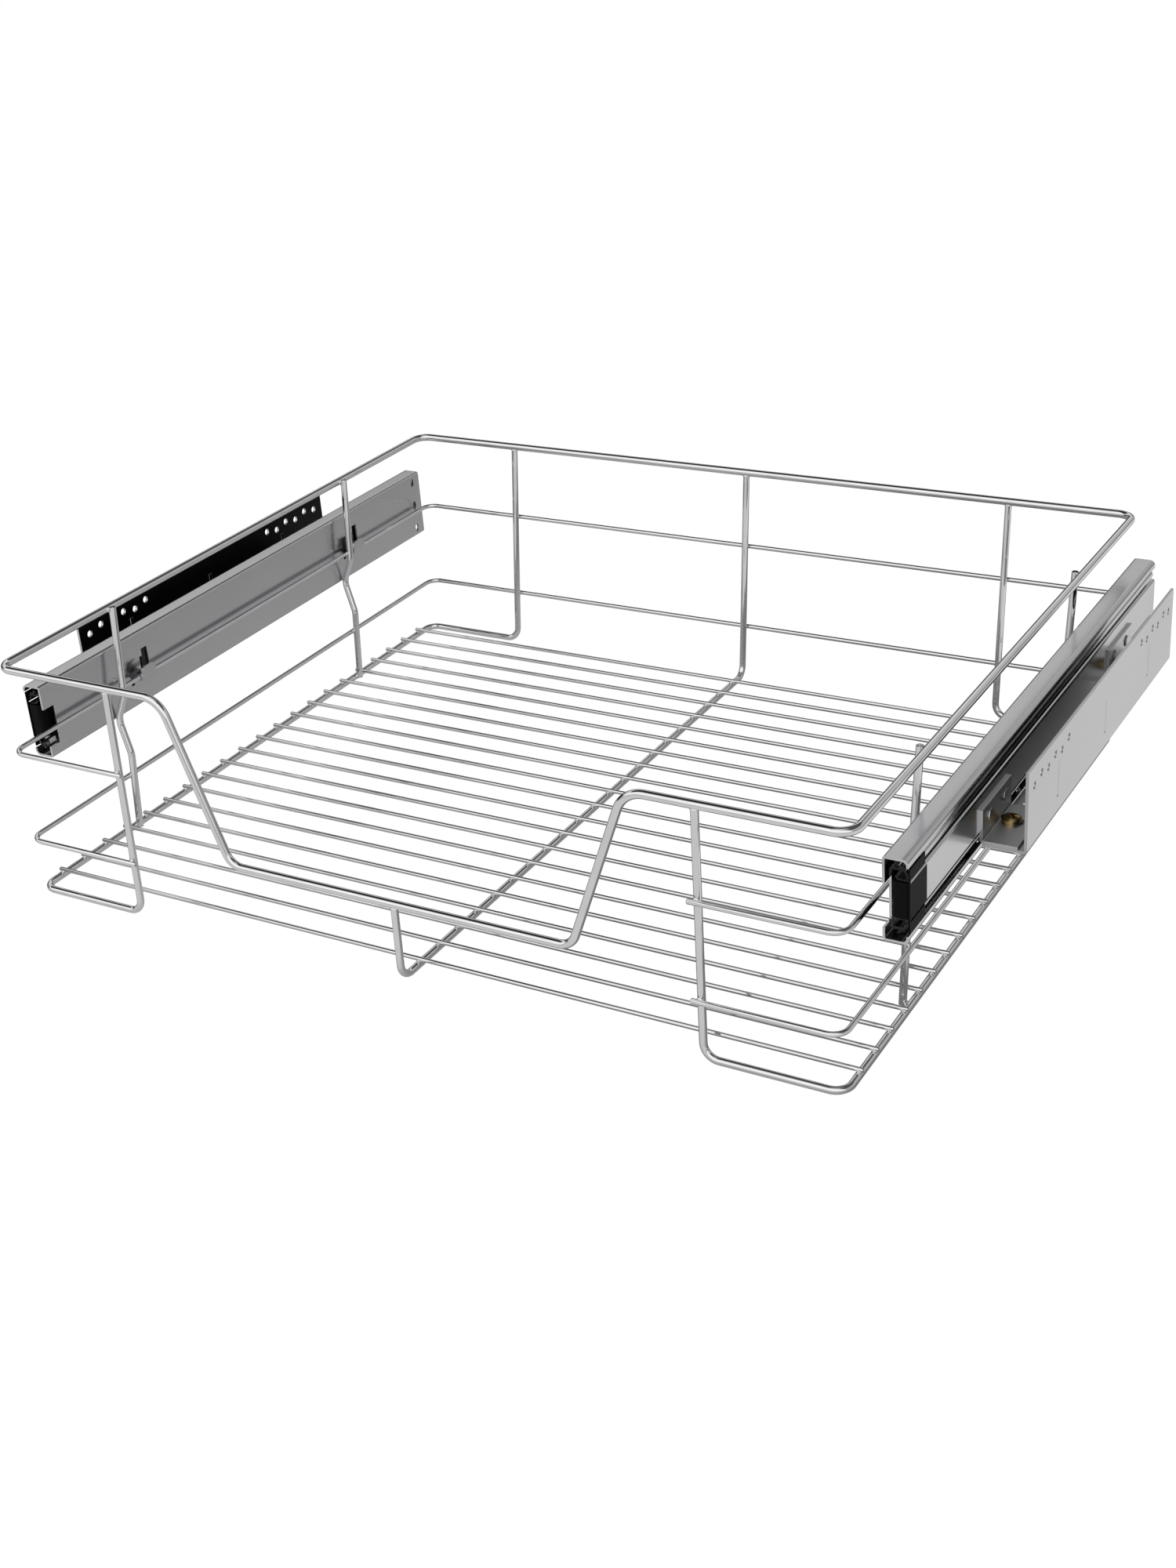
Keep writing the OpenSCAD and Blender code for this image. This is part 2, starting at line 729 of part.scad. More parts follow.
// Rivets that join the angles to the cabinet member
module angle_rivets(side) {
  shift = side == "left" ? bracket_shift : 0;
  stack = sheet + bracket_sheet;
  color("#aeb0b3") in_place() on_side(side)
    for (y = rivet_places(shift))
      rivet_at(y) translate([0, 0, -sheet / 2]) {
        cylinder(h = stack, d = rivet_d, $fn = fine_fn);
        translate([0, 0, stack]) cylinder(h = rivet_head.y, d = rivet_head.x, $fn = fine_fn);
        translate([0, 0, -rivet_head.y]) cylinder(h = rivet_head.y, d = rivet_head.x, $fn = fine_fn);
      }
}

module angle_rivets_left() { angle_rivets("left"); }
module angle_rivets_right() { angle_rivets("right"); }

// Long angle that is screwed to the cabinet side
module wall_bracket(side) {
  bottom = leg_top_z - 2 * bracket_sheet;
  color("#c6c8ca") at_bracket(side)
    difference() {
      union() {
        translate([wall_x, bracket_l, bottom]) mirror([1, 0, 0]) rotate([90, 0, 0])
          linear_extrude(bracket_l)
            fold_angle(bracket_w, bracket_h, bracket_sheet, bracket_fold_r);
        beads(0);
      }
      translate([bracket_sheet, 0, 0]) beads(through);
      both_ends() fixing_holes();
      both_ends() {
        translate([screw_x, screw_y, bottom])
          cylinder(h = 4 * bracket_sheet, d = slot_w, center = true, $fn = fine_fn);
        translate([screw_x, leg_hole_y, bottom])
          cylinder(h = 4 * bracket_sheet, d = leg_hole_d, center = true, $fn = fine_fn);
      }
    }
}

// Three upright beads, pressed inward into the flange of the wall bracket
module beads(reach) {
  bottom = leg_top_z - 2 * bracket_sheet;
  h = bracket_h - bead_end[0] - bead_end[1];
  for (y = [bead_y, bracket_l / 2, bracket_l - bead_y])
    translate([wall_x - bracket_sheet + bead_r - bead_depth, y, bottom + bead_end[0]])
      intersection() {
        cylinder(h = h, r = bead_r, $fn = fine_fn);
        translate([-2 * bead_r, -bead_r, 0]) cube([bead_r + bead_depth + reach, 2 * bead_r, h]);
      }
}

// Two staggered rows of fixing holes
module fixing_holes() {
  top = leg_top_z - 2 * bracket_sheet + bracket_h;
  for (i = [0 : 2]) {
    fixing_hole_at(fixing_y + i * fixing_pitch, top - fixing_drop[1]);
    fixing_hole_at(fixing_y + (i + 0.5) * fixing_pitch, top - fixing_drop[0]);
  }
}

module fixing_hole_at(y, z) {
  translate([wall_x, y, z]) rotate([0, 90, 0])
    cylinder(h = 4 * bracket_sheet, d = fixing_hole, center = true, $fn = fine_fn);
}

module wall_bracket_left() { wall_bracket("left"); }
module wall_bracket_right() { wall_bracket("right"); }

// Pan-head screws that clamp the wall bracket under the angles
module adjusting_screws(side) {
  tip = leg_top_z - 2 * bracket_sheet - nut_h - 1;
  color("#c9a04a") at_bracket(side) both_ends()
    translate([screw_x, screw_y, 0])
      difference() {
        union() {
          translate([0, 0, tip])
            cylinder(h = leg_top_z - tip + eps, d = screw_d, $fn = fine_fn);
          translate([0, 0, leg_top_z]) pan_head();
        }
        translate([0, 0, leg_top_z + screw_head.y])
          for (a = [45, 135])
            rotate([0, 0, a]) cube([screw_recess.x, screw_recess.y, 2 * screw_recess.z], center = true);
      }
}

// Low domed head: the cap of a sphere over a short cylinder
module pan_head() {
  r = screw_head.x / 2;
  skirt = screw_head.y / 2;
  dome = (r * r + skirt * skirt) / (2 * skirt);
  intersection() {
    cylinder(h = screw_head.y, r = r, $fn = fine_fn);
    translate([0, 0, screw_head.y - dome]) sphere(r = dome, $fn = fine_fn * 2);
  }
}

module adjusting_screws_left() { adjusting_screws("left"); }
module adjusting_screws_right() { adjusting_screws("right"); }

// Hexagon nuts welded under the wall bracket
module adjusting_nuts(side) {
  color("#b4b6b8") at_bracket(side) both_ends()
    translate([screw_x, screw_y, leg_top_z - 2 * bracket_sheet - nut_h])
      difference() {
        rotate([0, 0, 30]) cylinder(h = nut_h, d = nut_flats / cos(30), $fn = 6);
        translate([0, 0, -through])
          cylinder(h = nut_h + 2 * through, d = screw_d, $fn = fine_fn);
      }
}

module adjusting_nuts_left() { adjusting_nuts("left"); }
module adjusting_nuts_right() { adjusting_nuts("right"); }

// ---------------------------------------------------------------- drawing

rim();
upper_ring();
lower_ring();
base_wire_left();
base_wire_right();
centre_wire();
floor_wires();
hanger_front_left();
hanger_rear_left();
hanger_front_right();
hanger_rear_right();
drawer_member_left();
drawer_member_right();
middle_member_left();
middle_member_right();
cabinet_member_left();
cabinet_member_right();
drawer_cage_left();
drawer_cage_right();
cabinet_cage_left();
cabinet_cage_right();
drawer_balls_left();
drawer_balls_right();
cabinet_balls_left();
cabinet_balls_right();
front_buffer_left();
front_buffer_right();
runner_angles_left();
runner_angles_right();
angle_rivets_left();
angle_rivets_right();
wall_bracket_left();
wall_bracket_right();
adjusting_screws_left();
adjusting_screws_right();
adjusting_nuts_left();
adjusting_nuts_right();
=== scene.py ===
import math

import bmesh
import bpy
from mathutils import Matrix, Vector


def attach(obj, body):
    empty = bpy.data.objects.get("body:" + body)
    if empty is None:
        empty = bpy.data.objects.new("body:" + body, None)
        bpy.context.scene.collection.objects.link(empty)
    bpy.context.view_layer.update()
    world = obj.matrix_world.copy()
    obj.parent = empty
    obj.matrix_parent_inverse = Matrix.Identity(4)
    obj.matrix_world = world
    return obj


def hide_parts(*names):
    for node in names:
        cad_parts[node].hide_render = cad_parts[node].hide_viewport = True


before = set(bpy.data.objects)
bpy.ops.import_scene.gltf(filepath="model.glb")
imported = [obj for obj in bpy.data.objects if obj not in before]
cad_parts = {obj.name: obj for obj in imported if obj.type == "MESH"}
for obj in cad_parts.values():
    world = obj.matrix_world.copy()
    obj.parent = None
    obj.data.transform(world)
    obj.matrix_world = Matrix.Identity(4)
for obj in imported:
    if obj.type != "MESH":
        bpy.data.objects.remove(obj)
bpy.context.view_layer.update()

# ---------------------------------------------------------------- the studio
# The basket stands on a white table before a white sky, lit by an even glow
# and two large soft boxes. What its metal mirrors is a room of its own, with
# a dark far wall, one light band on it, and white cloth on the near side.
scene = bpy.context.scene
scene.view_settings.view_transform = "Standard"

# the camera stands on the right, in front and above; its axes come from a fitted pinhole
camera = bpy.data.objects.new("camera", bpy.data.cameras.new("camera"))
scene.collection.objects.link(camera)
scene.camera = camera
camera.data.sensor_fit = "VERTICAL"
camera.data.sensor_height = 36
camera.data.lens = 47.98
camera.data.clip_start = 0.01
camera_place = (0.5542, -0.9108, 0.5605)
camera_right = Vector((0.867795, 0.491730, -0.071644))
camera_up = Vector((-0.169881, 0.429059, 0.887158))
camera_back = Vector((0.466982, -0.757701, 0.455871))
camera_turn = Matrix((camera_right, camera_up, camera_back)).transposed().to_4x4()
camera.matrix_world = Matrix.Translation(camera_place) @ camera_turn


def add_node(tree, kind, settings=None, **values):
    """Adds a node; values are set by the name of an input, with _ for a space."""
    node = tree.nodes.new(kind)
    for key, value in (settings or {}).items():
        setattr(node, key, value)
    for key, value in values.items():
        node.inputs[key.replace("_", " ")].default_value = value
    return node


def fresh_nodes(owner):
    """Switches an owner's nodes on, empties them, and returns them with their link function."""
    owner.use_nodes = True
    owner.node_tree.nodes.clear()
    return owner.node_tree, owner.node_tree.links.new


def maths(tree, operation, *terms):
    """The result of a Math node; each term is a socket or a number."""
    node = add_node(tree, "ShaderNodeMath", {"operation": operation})
    for entry, term in zip(node.inputs, terms):
        if isinstance(term, (int, float)):
            entry.default_value = term
        else:
            tree.links.new(term, entry)
    return node.outputs[0]


def parts_of(tree, vector):
    """The X, Y and Z sockets of a vector socket."""
    split = add_node(tree, "ShaderNodeSeparateXYZ")
    tree.links.new(vector, split.inputs[0])
    return split.outputs


def shade(tree, tone):
    """A socket that holds one colour."""
    node = add_node(tree, "ShaderNodeRGB")
    node.outputs[0].default_value = (*tone, 1)
    return node.outputs[0]


def ramp_of(tree, value, stops):
    """The colour that a ramp gives a socket; each stop is a place and a grey or a colour."""
    ramp = add_node(tree, "ShaderNodeValToRGB")
    elements = ramp.color_ramp.elements
    while len(elements) < len(stops):
        elements.new(0.5)
    for element, (place, colour) in zip(elements, stops):
        element.position = place
        if isinstance(colour, (int, float)):
            colour = (colour, colour, colour)
        element.color = (*colour, 1)
    tree.links.new(value, ramp.inputs[0])
    return ramp.outputs[0]


def soft_step(tree, value, start, stop):
    """Rises smoothly from 0 at start to 1 at stop."""
    step = add_node(tree, "ShaderNodeMapRange", {"interpolation_type": "SMOOTHSTEP"},
                    From_Min=start, From_Max=stop)
    tree.links.new(value, step.inputs["Value"])
    return step.outputs[0]


def mix_colours(tree, share, first, second):
    """Blends two colours; share is the socket that says how much of the second."""
    blend = add_node(tree, "ShaderNodeMix", {"data_type": "RGBA"})
    tree.links.new(share, blend.inputs["Factor"])
    tree.links.new(first, blend.inputs["A"])
    tree.links.new(second, blend.inputs["B"])
    return next(socket for socket in blend.outputs if socket.enabled)


def mix_shaders(tree, share, first, second):
    """Blends two shaders in the same way."""
    blend = add_node(tree, "ShaderNodeMixShader")
    for entry, source in zip(blend.inputs, (share, first, second)):
        tree.links.new(source, entry)
    return blend.outputs[0]


def ray_kinds(tree):
    """Two sockets: 1 for rays from the eye, also through glass, and 1 for mirrored rays."""
    path = add_node(tree, "ShaderNodeLightPath")
    seen = maths(tree, "MAXIMUM", path.outputs["Is Camera Ray"], path.outputs["Is Transmission Ray"])
    return seen, path.outputs["Is Glossy Ray"]


world = bpy.data.worlds.new("studio")
scene.world = world
tree, link = fresh_nodes(world)
direction = parts_of(tree, add_node(tree, "ShaderNodeTexCoord").outputs["Generated"])
# the far side of the mirrored room, by the height of the direction from 0, the
# horizon, to 1, straight up: darker round the light band on the left than on the right
far_left = ramp_of(tree, direction["Z"], [
    (0.0, 0.01), (0.25, 0.01), (0.30, 0.56), (0.38, 0.62), (0.55, 0.72), (0.60, 0.03),
    (0.94, 0.03), (0.985, 0.50)])
far_right = ramp_of(tree, direction["Z"], [
    (0.0, 0.12), (0.12, 0.24), (0.25, 0.44), (0.56, 0.50), (0.64, 0.08), (0.94, 0.08), (0.985, 0.50)])
rightness = soft_step(tree, direction["X"], -0.25, 0.15)
far_side = mix_colours(tree, rightness, far_left, far_right)
near_side = ramp_of(tree, direction["Z"], [(0.0, 0.30), (0.10, 0.45), (0.22, 1.0)])
farness = soft_step(tree, direction["Y"], -0.45, -0.15)
room_glow = add_node(tree, "ShaderNodeBackground", Strength=1.2)
link(mix_colours(tree, farness, near_side, far_side), room_glow.inputs["Color"])
even_glow = add_node(tree, "ShaderNodeBackground", Color=(1, 1, 1, 1), Strength=0.62)
white_sky = add_node(tree, "ShaderNodeBackground", Color=(1, 1, 1, 1), Strength=1.0)
seen, mirrored = ray_kinds(tree)
unseen = mix_shaders(tree, mirrored, even_glow.outputs[0], room_glow.outputs[0])
out = add_node(tree, "ShaderNodeOutputWorld")
link(mix_shaders(tree, seen, unseen, white_sky.outputs[0]), out.inputs[0])

lamp_aim = Vector((0, 0, 0.05))


def soft_box(name, place, size, power):
    """Adds an area lamp that lights the basket but isn't mirrored in it; power is in watts."""
    lamp = bpy.data.lights.new(name, "AREA")
    lamp.shape = "RECTANGLE"
    lamp.size, lamp.size_y = size
    lamp.energy = power
    box = bpy.data.objects.new(name, lamp)
    box.visible_glossy = False
    scene.collection.objects.link(box)
    turn = (Vector(place) - lamp_aim).to_track_quat("Z", "Y").to_matrix().to_4x4()
    box.matrix_world = Matrix.Translation(place) @ turn


soft_box("front_soft_box", (-0.5, -2.2, 1.3), (1.6, 1.2), 34)
soft_box("right_soft_box", (2.2, -0.4, 1.5), (1.2, 1.2), 16)

table_reach = 6
table_mesh = bpy.data.meshes.new("table")
table_corners = [(x * table_reach, y * table_reach, 0) for x, y in ((-1, -1), (1, -1), (1, 1), (-1, 1))]
table_mesh.from_pydata(table_corners, [], [(0, 1, 2, 3)])
table = bpy.data.objects.new("table", table_mesh)
scene.collection.objects.link(table)
white_board = bpy.data.materials.new("white board")
tree, link = fresh_nodes(white_board)
# to the eye the table is nearly all even light, with enough of a real board left for a shadow
board = add_node(tree, "ShaderNodeBsdfDiffuse", Color=(0.92, 0.92, 0.92, 1))
lit = add_node(tree, "ShaderNodeEmission", Color=(1, 1, 1, 1), Strength=1.05)
lit_share = 0.90
seen, mirrored = ray_kinds(tree)
for_eye = mix_shaders(tree, maths(tree, "MULTIPLY", seen, lit_share), board.outputs[0], lit.outputs[0])
# to the metal it shows painted shade at the sides of and under the basket, a painted
# pool of light on its right, and white in front of it, which is what the uprights and the grip mirror
place = parts_of(tree, add_node(tree, "ShaderNodeTexCoord").outputs["Object"])
ramp_half = 0.5     # the ramp runs this far, in metres, to the left and the right
across = add_node(tree, "ShaderNodeMapRange", From_Min=-ramp_half, From_Max=ramp_half)
link(place["X"], across.inputs["Value"])
painted_light_and_shade = ramp_of(tree, across.outputs[0], [
    (0.0, 0.42), (0.20, 0.30), (0.24, 0.18), (0.27, 0.50), (0.46, 0.40), (0.56, 0.22), (0.77, 0.22),
    (0.80, 0.80)])
frontness = soft_step(tree, place["Y"], -0.19, -0.23)
painted_table_glow = add_node(tree, "ShaderNodeEmission", Strength=1.0)
link(mix_colours(tree, frontness, painted_light_and_shade, shade(tree, (0.74, 0.74, 0.74))), painted_table_glow.inputs["Color"])
out = add_node(tree, "ShaderNodeOutputMaterial")
link(mix_shaders(tree, mirrored, for_eye, painted_table_glow.outputs[0]), out.inputs[0])
table_mesh.materials.append(white_board)

# ------------------------------------------------------------------- the rim
# The thickest wire of the basket, bent into one closed loop that dips at the
# front to make a grip. Like the whole basket it is drawn steel wire, welded
# first and then plated with bright chrome over nickel. Sizes are in mm.
rim_w, rim_d, basket_h = 488, 405, 131
front_lean, back_lean = 4, 17
rim_wire, frame_wire, ring_wire, floor_wire = 4.5, 4.0, 2.8, 2.4
sink = 0.3                              # how far two welded wires sink into each other
origin_y, origin_z = 199.856, -133      # the CAD frame's origin, from the rim's front and height


def from_rim(x, y, z):
    """The place in the frame, in metres, of a point in mm from the rim's front and height."""
    return Vector((x, y - origin_y, z - origin_z)) / 1000


def front_at(drop):
    """Where the leaning front is, a drop below the rim."""
    return -front_lean * drop / basket_h


def back_at(drop):
    """Where the leaning back is, a drop below the rim."""
    return rim_d - back_lean * drop / basket_h


def clouded(name, cloud_scale, stops, haze, metallic=1.0, detail=3.0, streaks=None, **finish):
    """A material whose tone, by a ramp's stops, and roughness, in the range haze, follow a noise.

    With streaks, a scale and a stretch, a second and stretched noise drives the roughness."""
    made = bpy.data.materials.new(name)
    tree, link = fresh_nodes(made)
    shader = add_node(tree, "ShaderNodeBsdfPrincipled", Metallic=metallic, **finish)
    place = add_node(tree, "ShaderNodeTexCoord")
    cloud = add_node(tree, "ShaderNodeTexNoise", Scale=cloud_scale, Detail=detail)
    link(place.outputs["Object"], cloud.inputs["Vector"])
    link(ramp_of(tree, cloud.outputs[0], stops), shader.inputs["Base Color"])
    grain = cloud
    if streaks:
        scale, stretch = streaks
        stretched = add_node(tree, "ShaderNodeMapping")
        stretched.inputs["Scale"].default_value = stretch
        link(place.outputs["Object"], stretched.inputs["Vector"])
        grain = add_node(tree, "ShaderNodeTexNoise", Scale=scale, Detail=detail)
        link(stretched.outputs[0], grain.inputs["Vector"])
    rough = add_node(tree, "ShaderNodeMapRange", To_Min=haze[0], To_Max=haze[1])
    link(grain.outputs[0], rough.inputs["Value"])
    link(rough.outputs[0], shader.inputs["Roughness"])
    out = add_node(tree, "ShaderNodeOutputMaterial")
    link(shader.outputs[0], out.inputs[0])
    return made


def chrome(name, tone, roughness):
    """Bright plating with faint clouding."""
    return clouded(name, 55.0, [(0.3, tuple(c * 0.93 for c in tone)), (0.7, tone)],
                   (roughness * 0.8, roughness * 1.25))


chrome_wire = chrome("chrome wire", (0.75, 0.75, 0.76), 0.06)


def geometry_tree(name, inputs, output):
    """A node tree with its sockets, its link function and its input node.

    Each input is a name, a kind and, where it has one, a default value."""
    tree = bpy.data.node_groups.new(name, "GeometryNodeTree")
    tree.is_modifier = True
    for label, kind, *default in inputs:
        socket = tree.interface.new_socket(label, in_out="INPUT", socket_type="NodeSocket" + kind)
        if default:
            socket.default_value = default[0]
    tree.interface.new_socket(output, in_out="OUTPUT", socket_type="NodeSocketGeometry")
    return tree, tree.links.new, add_node(tree, "NodeGroupInput")


def hand_out(tree, link, given, made):
    """Ends a tree: what it made is made real, given its finish and handed out."""
    whole = add_node(tree, "GeometryNodeRealizeInstances")
    link(made, whole.inputs[0])
    coated = add_node(tree, "GeometryNodeSetMaterial")
    link(whole.outputs[0], coated.inputs["Geometry"])
    link(given.outputs["Finish"], coated.inputs["Material"])
    result = add_node(tree, "NodeGroupOutput")
    link(coated.outputs[0], result.inputs[0])


def bent_wire_tree():
    """Turns a line of corner points into round wire with rounded bends."""
    tree, link, given = geometry_tree("bent wire", [
        ("Corners", "Geometry"), ("Wire diameter", "Float", 0.004), ("Sides", "Int", 24),
        ("Steps in a bend", "Int", 12), ("Finish", "Material")], "Wire")
    line = add_node(tree, "GeometryNodeMeshToCurve")
    link(given.outputs["Corners"], line.inputs[0])
    bend = add_node(tree, "GeometryNodeInputNamedAttribute", {"data_type": "FLOAT"}, Name="bend")
    rounded = add_node(tree, "GeometryNodeFilletCurve", {"mode": "POLY"}, Limit_Radius=True)
    link(line.outputs[0], rounded.inputs["Curve"])
    link(bend.outputs["Attribute"], rounded.inputs["Radius"])
    link(given.outputs["Steps in a bend"], rounded.inputs["Count"])
    section = add_node(tree, "GeometryNodeCurvePrimitiveCircle", {"mode": "RADIUS"})
    link(given.outputs["Sides"], section.inputs["Resolution"])
    link(maths(tree, "MULTIPLY", given.outputs["Wire diameter"], 0.5), section.inputs["Radius"])
    girth = add_node(tree, "GeometryNodeInputNamedAttribute", {"data_type": "FLOAT"}, Name="girth")
    swept = add_node(tree, "GeometryNodeCurveToMesh", Fill_Caps=True)
    link(girth.outputs["Attribute"], swept.inputs["Scale"])
    link(rounded.outputs[0], swept.inputs["Curve"])
    link(section.outputs[0], swept.inputs["Profile Curve"])
    hand_out(tree, link, given, swept.outputs[0])
    return tree


bent_wire = bent_wire_tree()


def smooth(mesh, sharp):
    """Smooth shading, broken where faces meet at more than sharp degrees."""
    mesh.polygons.foreach_set("use_smooth", [True] * len(mesh.polygons))
    mesh.set_sharp_from_angle(angle=math.radians(sharp))
    mesh.update()


def grow(name, mesh, tree, values, sharp=40):
    """Runs a node tree on a mesh and keeps what it makes as a plain mesh."""
    piece = bpy.data.objects.new(name, mesh)
    scene.collection.objects.link(piece)
    step = piece.modifiers.new("making", "NODES")
    step.node_group = tree
    identifiers = {s.name: s.identifier for s in tree.interface.items_tree if s.in_out == "INPUT"}
    for key, value in values.items():
        step[identifiers[key]] = value
    ready = piece.evaluated_get(bpy.context.evaluated_depsgraph_get())
    plain = bpy.data.meshes.new_from_object(ready)
    piece.modifiers.clear()
    piece.data = plain
    plain.name = name
    smooth(plain, sharp)
    return piece


end_break, end_girth = 0.35, 0.80       # a cut end's broken edge, and its share of the diameter


def wire_line(name, corners, bend, closed=False):
    """A mesh line through corner points in mm, each with its bend radius and its girth.

    bend is one radius, or one for each corner. An open end is cut square, with a broken edge."""
    corners = [from_rim(*corner) for corner in corners]
    radii = list(bend) if isinstance(bend, tuple) else [bend] * len(corners)
    girths = [1.0] * len(corners)
    if not closed:
        head = (corners[1] - corners[0]).normalized() * (end_break / 1000)
        tail = (corners[-2] - corners[-1]).normalized() * (end_break / 1000)
        corners = [corners[0], corners[0] + head, *corners[1:-1], corners[-1] + tail, corners[-1]]
        radii = [0, 0, *radii[1:-1], 0, 0]
        girths = [end_girth, 1.0, *girths[1:-1], 1.0, end_girth]
    edges = [(i, i + 1) for i in range(len(corners) - 1)]
    if closed:
        edges.append((len(corners) - 1, 0))
    mesh = bpy.data.meshes.new(name)
    mesh.from_pydata(corners, edges, [])
    for key, data in (("bend", [radius / 1000 for radius in radii]), ("girth", girths)):
        mesh.attributes.new(key, "FLOAT", "POINT").data.foreach_set("value", data)
    return mesh


def make_wire(name, corners, bend, diameter, node, sides=24, closed=False):
    """Makes one wire of the basket in the place of its CAD node."""
    piece = grow(name, wire_line(name, corners, bend, closed), bent_wire,
                 {"Wire diameter": diameter / 1000, "Sides": sides, "Steps in a bend": 10,
                  "Finish": chrome_wire})
    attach(piece, "basket")
    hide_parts(node)


dip_drop, dip_top, dip_bottom = 88, 134, 101.5
dip_front = front_at(dip_drop)
rim_corners = [
    (-rim_w / 2, 0, 0), (-rim_w / 2, rim_d, 0), (rim_w / 2, rim_d, 0), (rim_w / 2, 0, 0),
    (dip_top, 0, 0), (dip_bottom, dip_front, -dip_drop), (-dip_bottom, dip_front, -dip_drop),
    (-dip_top, 0, 0),
]
make_wire("rim_wire", rim_corners, (9, 9, 9, 9, 15, 10, 10, 15), rim_wire, "rim", sides=32, closed=True)
welds = []      # place and half sizes, in mm, of each weld; filled as the wires are made

# ---------------------------------------------------------------- wall rings
# Two thinner wires run round the sides and the back and end beside the front
# uprights. Resistance welding joins them to every upright that they cross.
stand_off = (frame_wire + ring_wire) / 2 - sink
upright_x = 169.5
wire_bend = 8
# how far each ring lies below the rim, and half its width
ring_drops = {"upper_ring": (47.5, rim_w / 2 - 2.4), "lower_ring": (99.5, rim_w / 2 - 3.5)}
crossing_bead, crossing_off = (1.9, 0.8, 1.9), 1.8
for node, (drop, half_w) in ring_drops.items():
    front, back = front_at(drop) - stand_off, back_at(drop) + stand_off
    end = upright_x - frame_wire
    corners = [(end, front, -drop), (half_w, front, -drop), (half_w, back, -drop),
               (-half_w, back, -drop), (-half_w, front, -drop), (-end, front, -drop)]
    make_wire(node + "_wire", corners, wire_bend, ring_wire, node, sides=20)
    for x in (-upright_x, upright_x):
        welds.append(((x, front_at(drop) - crossing_off, -drop), crossing_bead))
    for x in (-upright_x, 0, upright_x):
        welds.append(((x, back_at(drop) + crossing_off, -drop), crossing_bead))

# -------------------------------------------------------- uprights and base
# One wire on each side is bent to make a front upright, the side of the base
# and a back upright. A third runs down the middle, from the dip to the back.
# Their ends are butted against the underside of the rim and welded.
base_x = rim_w / 2 - 3.5
under_rim = -rim_wire / 2 + sink
rim_bead, rim_bead_z = (2.4, 2.1, 0.9), -2.2
front, back = front_at(basket_h), back_at(basket_h)
for side, way in (("left", -1), ("right", 1)):
    corners = [(way * upright_x, 0, under_rim), (way * upright_x, front, -basket_h),
               (way * base_x, front, -basket_h), (way * base_x, back, -basket_h),
               (way * upright_x, back, -basket_h), (way * upright_x, rim_d, under_rim)]
    make_wire(f"base_wire_{side}_bent", corners, wire_bend, frame_wire, f"base_wire_{side}")
    for y in (0, rim_d):
        welds.append(((way * upright_x, y, rim_bead_z), rim_bead))
corners = [(0, dip_front, -dip_drop + under_rim), (0, front, -basket_h), (0, back, -basket_h),
           (0, rim_d, under_rim)]
make_wire("centre_wire_bent", corners, wire_bend, frame_wire, "centre_wire")
welds += [((0, dip_front, -dip_drop + rim_bead_z), rim_bead), ((0, rim_d, rim_bead_z), rim_bead)]

# --------------------------------------------------------------- floor wires
# Twenty-one thin wires lie across the base wires at an even pitch, each cut
# to length, laid in a jig and welded where it crosses the three base wires.
floor_count, floor_start, floor_pitch = 21, 16, 18
floor_y = [front + floor_start + floor_pitch * i for i in range(floor_count)]
floor_z = -basket_h + (frame_wire + floor_wire) / 2 - sink
floor_end = base_x + 2
floor_bead, floor_bead_off = (1.6, 1.2, 0.55), 1.05


def floor_tree():
    """Repeats one cut wire at an even pitch."""
    tree, link, given = geometry_tree("floor of wires", [
        ("First wire", "Geometry"), ("Wires", "Int", 21), ("Pitch", "Float", 0.018),
        ("Wire diameter", "Float", 0.0024), ("Finish", "Material")], "Floor")
    one = add_node(tree, "GeometryNodeGroup", {"node_tree": bent_wire}, Sides=16)
    link(given.outputs["First wire"], one.inputs["Corners"])
    for name in ("Wire diameter", "Finish"):
        link(given.outputs[name], one.inputs[name])
    step = add_node(tree, "ShaderNodeCombineXYZ")
    link(given.outputs["Pitch"], step.inputs["Y"])
    row = add_node(tree, "GeometryNodeMeshLine", {"mode": "OFFSET"})
    link(given.outputs["Wires"], row.inputs["Count"])
    link(step.outputs[0], row.inputs["Offset"])
    placed = add_node(tree, "GeometryNodeInstanceOnPoints")
    link(row.outputs[0], placed.inputs["Points"])
    link(one.outputs[0], placed.inputs["Instance"])
    hand_out(tree, link, given, placed.outputs[0])
    return tree


first = wire_line("floor_wires_laid", [(-floor_end, floor_y[0], floor_z), (floor_end, floor_y[0], floor_z)],
                  bend=0)
floor = grow("floor_wires_laid", first, floor_tree(),
             {"Wires": floor_count, "Pitch": floor_pitch / 1000, "Wire diameter": floor_wire / 1000,
              "Finish": chrome_wire})
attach(floor, "basket")
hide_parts("floor_wires")
for y in floor_y:
    for x in (-base_x, 0, base_x):
        welds.append(((x, y, floor_z - floor_bead_off), floor_bead))

# ------------------------------------------------------------------- hangers
# Two wires in each side are bent outward to a knee that leans on the runner,
# below the hooks. Each is welded to the rim, both rings and the base wire,
# and leans towards the front on its way down.
knee, knee_bend, above_knee, below_knee = 66, 12, 14.5, 20
rise, lean = 1.5, 14
runner_x, runner_gap = rim_w / 2 + 2, 0.3
# the middle of the wire, by its height from the rim: how far out it is at each bend
touches = {
    rise: rim_w / 2 - (rim_wire + frame_wire) / 2 + sink,
    above_knee - knee: ring_drops["upper_ring"][1] - stand_off,
    -knee: runner_x - frame_wire / 2 - runner_gap,
    -knee - below_knee: ring_drops["lower_ring"][1] - stand_off,
    -basket_h: base_x - frame_wire + sink,
}
